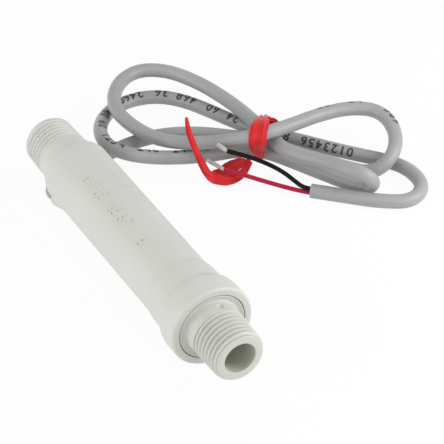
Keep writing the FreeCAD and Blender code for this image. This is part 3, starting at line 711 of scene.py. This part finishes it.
PRINT_SIZE, PRINT_BOLD, PRINT_LIFT = 3.5, 0.09, 0.012
PRINTED = [  # figures, where they start along the cable, and their turn from its top in degrees
    ("0123456", 495.5, 44), ("8", 477.2, 36), ("24", 462.2, 18), ("60", 455.0, 12),
    ("468", 447.2, 8), ("36", 438.6, 6), ("2468", 431.2, 6), ("80", 416.0, 16),
    ("60", 409.0, 20), ("1234", 401.3, 20), ("246", 389.8, 22), ("24", 379.8, 20),
    ("369", 370.8, 20), ("60", 149.8, 40), ("24", 140.8, 38), ("369", 130.8, 38),
]
print_parts = []
for figures, begins, turn in PRINTED:
    part = figures_mesh(figures, PRINT_SIZE, PRINT_BOLD, 0)
    for vertex in part.verts:
        angle = math.radians(turn) + vertex.co.y / (CABLE_RADIUS * MM)
        vertex.co = on_cable(begins * MM - vertex.co.x, angle, PRINT_LIFT * MM)
    print_parts.append(part)
printing = joined_figures("cable_printing", print_parts)
ink, start = new_finish("printing_ink")
ink_wear = start.noise(1500, 4)
surface(start, {
    "Base Color": ink_wear.mix(colour(38, 38, 40), colour(70, 70, 72)),
    "Roughness": 0.5 + ink_wear * 0.2,
})
dress(printing, ink)
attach(printing, "sensor")

# The jacket's cut end: a ring of vinyl round the two wires.
END_SIDES = 40
END_RINGS = [(-0.8, 1.4), (-0.8, 1.89), (-0.1, 1.92), (0.12, 1.85), (0.18, 1.62), (0.1, 1.4)]
end_ahead = (cable_line[-1] - cable_line[-2]).normalized()
end_side = end_ahead.cross(Vector((0, 0, 1))).normalized()
end_up = end_side.cross(end_ahead)
made = bmesh.new()
end_rows = [
    [
        made.verts.new(cable_line[-1] + (
            end_ahead * along + (end_side * math.cos(t) + end_up * math.sin(t)) * radius
        ) * MM)
        for t in (math.tau * k / END_SIDES for k in range(END_SIDES))
    ]
    for along, radius in END_RINGS
]
join_rows(made, end_rows, closed=True)
jacket_end = add_mesh("jacket_end", made)
shade_smooth(jacket_end, 50)
dress(jacket_end, vinyl)
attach(jacket_end, "sensor")


# ---- Wire ends
# The two wires that the stripped jacket leaves free, red and black, each with a short bare end of
# seven tinned copper strands, loosely twisted.
WIRE_RADIUS, WIRE_STEPS = 0.6, 10
STRANDS, STRAND_RADIUS, STRAND_STEPS, STRAND_SIDES = 7, 0.17, 8, 8
STRAND_RING, STRAND_FLARE = 0.34, 0.18  # how far out a strand lies, and how much more at its tip
STRAND_TWIST = 1.6
STRAND_UNEVEN = 0.05  # strands are cut short by none to three of these shares of their length
RED_ROUTE = [
    (7.53, -54.61, 1.25), (8.8, -53.3, 1.25), (12.3, -50.2, 1.4), (16.6, -46.6, 1.8),
    (21.6, -42.4, 2.4), (25.6, -38.7, 3.0),
]
RED_TIP = (30.5, -36.3, 3.8)
BLACK_ROUTE = [
    (7.53, -54.61, 2.55), (9.046, -53.029, 2.55), (12.1, -52.6, 2.6), (17.6, -51.5, 3.1),
    (22.1, -48.3, 4.4), (24.6, -44.1, 6.3), (26.9, -40.3, 7.6),
]
BLACK_TIP = (29.5, -38.9, 8.7)
tinned_copper = worked_metal(
    "tinned_copper", colour(232, 231, 228), colour(158, 157, 150), roughness=0.3, scale=1800
)
wire_pieces = []
for hue, route, tip, finish in (
    ("red", RED_ROUTE, RED_TIP, red_insulation),
    ("black", BLACK_ROUTE, BLACK_TIP, black_insulation),
):
    wire = smooth_curve(f"wire_{hue}_insulation", route, WIRE_RADIUS, WIRE_STEPS)
    dress(wire, finish)
    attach(wire, "sensor")
    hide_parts(f"wire_{hue}")
    halfway = [(a + b) / 2 for a, b in zip(route[-1], tip)]
    bare = smooth_line([route[-1], halfway, tip], STRAND_STEPS)
    ahead = (bare[-1] - bare[0]).normalized()
    side = ahead.orthogonal().normalized()
    up = ahead.cross(side)
    made = bmesh.new()
    for k in range(STRANDS):
        strand = []
        for i, point in enumerate(bare):
            share = i / (len(bare) - 1)
            out = 0.0 if k == 0 else STRAND_RING + STRAND_FLARE * share * (k % 3)
            turn = math.tau * k / (STRANDS - 1) + STRAND_TWIST * share
            centre = bare[0].lerp(point, 1.0 - STRAND_UNEVEN * (k % 4))
            strand.append(centre + (side * math.cos(turn) + up * math.sin(turn)) * out * MM)
        sweep(made, strand, STRAND_RADIUS * MM, STRAND_SIDES)
    strands = add_mesh(f"bare_strands_{hue}", made)
    shade_smooth(strands, 60)
    dress(strands, tinned_copper)
    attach(strands, "sensor")
    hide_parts(f"strands_{hue}")
    wire_pieces += [wire, strands]


# ---- Twist tie
# A glossy red plastic ribbon with a steel wire moulded down its middle. It goes twice round the
# bundle and ends in loose tails: a long one that turns up on its edge, a crumpled one under the
# wires, and a short one that curls over the band.
BUNDLE_HEADING = math.radians(240.656)
BUNDLE_FOOT = Vector((32.8, -54.4, 0.0))
along_bundle = Vector((math.cos(BUNDLE_HEADING), math.sin(BUNDLE_HEADING), 0))
across_bundle = Vector((0, 0, 1)).cross(along_bundle)
RIBBON_THICKNESS = 0.2
RIDGE = 0.42
RIBBON_ACROSS = [k / 10 for k in range(-10, 11)]


def ribbon_height(share):
    """How the ribbon's face rises over its edges: a gentle round with the wire's ridge along it."""
    return 0.5 * (1 - share * share) + 0.9 * (1 - ramp(abs(share), 0.1, 0.34))


def ribbon(name, stations):
    """A thin closed strip through stations: each has a middle, half a width, an outward side and the
    height of the wire's ridge."""
    made = bmesh.new()
    rows = []
    for middle, half, out, ridge in stations:
        front = [
            middle + half * s + out * (ridge * ribbon_height(s) + RIBBON_THICKNESS / 2)
            for s in RIBBON_ACROSS
        ]
        back = [middle + half * s - out * (RIBBON_THICKNESS / 2) for s in reversed(RIBBON_ACROSS)]
        rows.append([made.verts.new(point * MM) for point in front + back])
    join_rows(made, rows, closed=False)
    piece = add_mesh(name, made)
    shade_smooth(piece, 40)
    return piece


# Two directions in the wraps' plane, as steps across the bundle and up: up the picture, and towards
# the camera. Heights of the band are measured up the picture.
PICTURE_UP = Vector((0.6046, 0.7966))
TO_CAMERA = Vector((-0.7966, 0.6046))
WRAP_STEPS, TIGHT_STEPS, SETTLINGS, EASINGS = 120, 720, 4, 10
WRAP_OFFSET = CABLE_RADIUS + 0.28
WRAP_LAP = 0.1  # how far the second wrap lies over the first
UNDER_BAND, BAND_MARGIN = 12, 0.2  # how far across and beside the band the cable counts
BAND_TOP = 7.0  # the loop is pressed to half of what rises above this


def band_lean(height):
    """How far along the bundle the band's middle lies at a height up the picture."""
    return -1.35 - 0.10 * height + 0.0375 * height * height


def band_spread(height):
    """How far each of the two wraps lies from the band's middle."""
    return 1.2 * ramp(height, -3.5, 1.0) * (1 - 0.55 * ramp(height, 5.0, 8.8))


def wrap_half(height):
    """Half of a wrap's width, less where it is pinched underneath."""
    return 0.95 + 0.25 * ramp(height, -3.5, 1.0)


# The wraps' loop: drawn tight over the cable that lies under the band, then eased round its corners.
tied = []
for point in cable_line:
    away = point / MM - BUNDLE_FOOT
    if abs(away.dot(across_bundle)) < UNDER_BAND:
        tied.append((away.dot(along_bundle), Vector((away.dot(across_bundle), away.z))))
tight = []
for k in range(TIGHT_STEPS):
    turn = math.tau * k / TIGHT_STEPS
    out = Vector((math.cos(turn), math.sin(turn)))
    height = 0.0
    for _ in range(SETTLINGS):
        middle = band_lean(height)
        reach = band_spread(height) + wrap_half(height) + BAND_MARGIN
        place = max((place for along, place in tied if abs(along - middle) < reach), key=out.dot)
        height = (place + out * WRAP_OFFSET).dot(PICTURE_UP)
    tight.append(place + out * WRAP_OFFSET)
lengths = [0.0]
for before, after in zip(tight, tight[1:] + tight[:1]):
    lengths.append(lengths[-1] + (after - before).length)
loop = []
for k in range(WRAP_STEPS):
    reach = lengths[-1] * k / WRAP_STEPS
    i = max(n for n, length in enumerate(lengths[:-1]) if length <= reach)
    share = (reach - lengths[i]) / max(lengths[i + 1] - lengths[i], 1e-9)
    loop.append(tight[i].lerp(tight[(i + 1) % len(tight)], share))
loop = [
    place - PICTURE_UP * max(0.0, place.dot(PICTURE_UP) - BAND_TOP) * 0.5 for place in loop
]
for _ in range(EASINGS):
    loop = [
        (loop[k - 1] + 2 * loop[k] + loop[(k + 1) % WRAP_STEPS]) / 4 for k in range(WRAP_STEPS)
    ]

tie_pieces = []
red_ribbon, start = new_finish("tie_plastic")
ribbon_clouds = start.noise(300, 3)
ribbon_creases = start.noise(700, 2)
surface(start, {
    "Base Color": ribbon_clouds.mix(colour(232, 66, 66), colour(198, 34, 42)),
    "Roughness": 0.26 + ribbon_creases * 0.14,
    "Specular IOR Level": 0.1,
    "Normal": start.bump(ribbon_creases, 0.08, 0.0002),
})
for side in (-1, 1):
    stations = []
    for k in range(WRAP_STEPS + 1):
        place = loop[k % WRAP_STEPS]
        ahead = (loop[(k + 1) % WRAP_STEPS] - loop[k % WRAP_STEPS - 1]).normalized()
        out = Vector((ahead.y, -ahead.x))
        on_top = ramp(out.y, -0.6, 0.0)  # underneath, the ribbon is pressed flat
        place = place + out * WRAP_LAP * (side > 0) * on_top
        height = place.dot(PICTURE_UP)
        along = band_lean(height) + side * band_spread(height)
        stations.append((
            BUNDLE_FOOT + along_bundle * along + across_bundle * place.x + Vector((0, 0, place.y)),
            along_bundle * wrap_half(height),
            across_bundle * out.x + Vector((0, 0, out.y)),
            RIDGE * on_top,
        ))
    tie_pieces.append(ribbon(f"tie_wrap_{len(tie_pieces) + 1}", stations))

# The loose tails, by the two edges of each.
TAIL_STEPS, CRUMPLE_PACE = 7, 0.9
TAIL_EDGES = [
    ((29.0, -47.6, 1.8), (26.3, -47.7, 1.5)), ((26.6, -45.2, 1.0), (24.4, -45.4, 0.5)),
    ((25.4, -42.5, 0.8), (22.8, -43.0, 0.3)), ((25.7, -40.1, 1.1), (21.9, -39.9, 0.3)),
    ((28.0, -38.5, 1.7), (22.3, -37.0, 0.3)), ((27.7, -36.4, 2.3), (25.1, -34.2, 0.5)),
    ((26.1, -35.2, 3.0), (27.0, -33.3, 2.2)), ((27.1, -34.5, 4.6), (28.3, -32.7, 4.2)),
    ((29.8, -33.6, 8.5), (30.4, -31.9, 8.5)), ((30.9, -32.9, 11.5), (31.6, -31.2, 11.5)),
    ((32.4, -32.4, 14.5), (32.8, -31.0, 14.5)), ((32.9, -32.0, 17.5), (33.2, -31.3, 17.5)),
]
SECOND_EDGES = [
    ((29.4, -45.7, 2.0), (27.3, -47.2, 1.8)), ((30.5, -44.2, 1.2), (26.5, -44.9, 1.0)),
    ((30.5, -42.0, 1.0), (26.2, -43.0, 0.6)), ((29.6, -39.7, 0.9), (25.7, -40.5, 0.5)),
    ((28.9, -37.8, 0.7), (25.8, -37.9, 0.4)),
]

# The short end stands off the top of the band and curls over.
SHORT_END = [  # along and across the bundle, up, half a width, and the roll
    (0.9, -1.6, 9.9, 0.95, 0.0), (1.9, -1.8, 10.1, 0.95, 0.1), (2.8, -2.0, 10.2, 0.9, 0.3),
    (3.6, -2.2, 10.1, 0.8, 0.6), (4.3, -2.4, 9.8, 0.6, 1.0), (4.7, -2.6, 9.4, 0.35, 1.4),
]
short_stations = []
for along, across, up, half, roll in SHORT_END:
    lie = PICTURE_UP * math.cos(roll) + TO_CAMERA * math.sin(roll)
    out = TO_CAMERA * math.cos(roll) - PICTURE_UP * math.sin(roll)
    short_stations.append((
        BUNDLE_FOOT + along_bundle * along + across_bundle * across + Vector((0, 0, up)),
        (across_bundle * lie.x + Vector((0, 0, lie.y))) * half,
        across_bundle * out.x + Vector((0, 0, out.y)),
        RIDGE,
    ))


def tail_stations(edges, crumple):
    """Stations of a loose tail between its two edges, crumpled by a fold of that size."""
    one = smooth_line([a for a, _ in edges], TAIL_STEPS)
    other = smooth_line([b for _, b in edges], TAIL_STEPS)
    middles = [(a + b) / 2 / MM for a, b in zip(one, other)]
    stations = []
    for i, middle in enumerate(middles):
        ahead = middles[min(i + 1, len(middles) - 1)] - middles[max(i - 1, 0)]
        half = (one[i] - other[i]) / 2 / MM
        out = ahead.cross(half).normalized()
        if out.z < 0:
            out = -out
        fade = math.sin(math.pi * i / (len(middles) - 1))
        fold = crumple * fade * math.sin(i * CRUMPLE_PACE)
        stations.append((middle + out * fold, half, out, RIDGE))
    return stations


tie_pieces.append(ribbon("tie_tail", tail_stations(TAIL_EDGES, 0.04)))
tie_pieces.append(ribbon("tie_short_end", short_stations))
tie_pieces.append(ribbon("tie_second_end", tail_stations(SECOND_EDGES, 0.08)))
for piece in tie_pieces:
    dress(piece, red_ribbon)
    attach(piece, "sensor")
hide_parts("tie_ribbon")


# ---- Studio
# A plain white floor under soft light from all round, with a softbox on each side and a weak one in
# front, and a camera where the photograph was taken.
FLOOR_HALF, FLOOR_DROP = 3.0, 0.00005
PLAIN_WHITE = 0.94  # how much of the floor shows plain white, the rest being paper with its shadow


def background_rays(start):
    """1 for rays that show the background: the camera's, straight, by reflection or through glass."""
    seen, mirrored, through = (
        start.node("ShaderNodeLightPath", out=ray)
        for ray in ("Is Camera Ray", "Is Glossy Ray", "Is Transmission Ray")
    )
    return seen + mirrored + through


corners = [(x * FLOOR_HALF, y * FLOOR_HALF, 0) for x, y in ((-1, -1), (1, -1), (1, 1), (-1, 1))]
floor_mesh = bpy.data.meshes.new("floor")
floor_mesh.from_pydata(corners, [], [(0, 1, 2, 3)])
floor = bpy.data.objects.new("floor", floor_mesh)
floor.location.z = -FLOOR_DROP
bpy.context.scene.collection.objects.link(floor)
paper, start = new_finish("studio_paper")
matte = start.node("ShaderNodeBsdfDiffuse", sockets={"Color": colour(246, 246, 246)})
glow = start.node("ShaderNodeEmission", sockets={"Color": (1, 1, 1, 1), "Strength": 1.0})
white_share = background_rays(start) * PLAIN_WHITE
bright = start.node("ShaderNodeMixShader", sockets={0: white_share, 1: matte, 2: glow})
start.node("ShaderNodeOutputMaterial", sockets={"Surface": bright})
floor_mesh.materials.append(paper)

world = bpy.data.worlds.new("studio_light")
world.use_nodes = True
world.node_tree.nodes.clear()
start = Shade(world.node_tree)
soft = start.node("ShaderNodeBackground", sockets={"Color": (1, 1, 1, 1), "Strength": 0.54})
white = start.node("ShaderNodeBackground", sockets={"Color": (1, 1, 1, 1), "Strength": 1.0})
rays = background_rays(start)
around = start.node("ShaderNodeMixShader", sockets={0: rays, 1: soft, 2: white})
start.node("ShaderNodeOutputWorld", sockets={"Surface": around})
bpy.context.scene.world = world
bpy.context.scene.view_settings.view_transform = "Standard"


def add_lamp(name, place, aim, watts, size):
    """A square softbox at a place, turned to what it is aimed at."""
    lamp = bpy.data.lights.new(name, "AREA")
    lamp.energy, lamp.size = watts, size
    holder = bpy.data.objects.new(name, lamp)
    holder.location = place
    holder.rotation_euler = (Vector(aim) - Vector(place)).to_track_quat("-Z", "Y").to_euler()
    bpy.context.scene.collection.objects.link(holder)


add_lamp("left_softbox", (0.05, 0.75, 0.30), (0.0, -0.02, 0.0), watts=2.8, size=0.5)
add_lamp("right_softbox", (-0.14, -0.23, 0.145), (0.0, -0.03, 0.0), watts=0.5, size=0.19)
add_lamp("front_softbox", (-0.75, 0.10, 0.25), (-0.04, 0.0, 0.01), watts=0.6, size=0.5)

camera = bpy.data.cameras.new("camera")
camera.lens, camera.sensor_width = 192.92, 36.0
camera.clip_start, camera.clip_end = 0.01, 20.0
camera_holder = bpy.data.objects.new("camera", camera)
camera_holder.matrix_world = Matrix((
    (-0.49005, 0.52698, -0.69437, -0.41506),
    (-0.87170, -0.29625, 0.39036, 0.20966),
    (0.0, 0.79657, 0.60454, 0.36957),
    (0.0, 0.0, 0.0, 1.0),
))
bpy.context.scene.collection.objects.link(camera_holder)
bpy.context.scene.camera = camera_holder

bpy.context.view_layer.update()
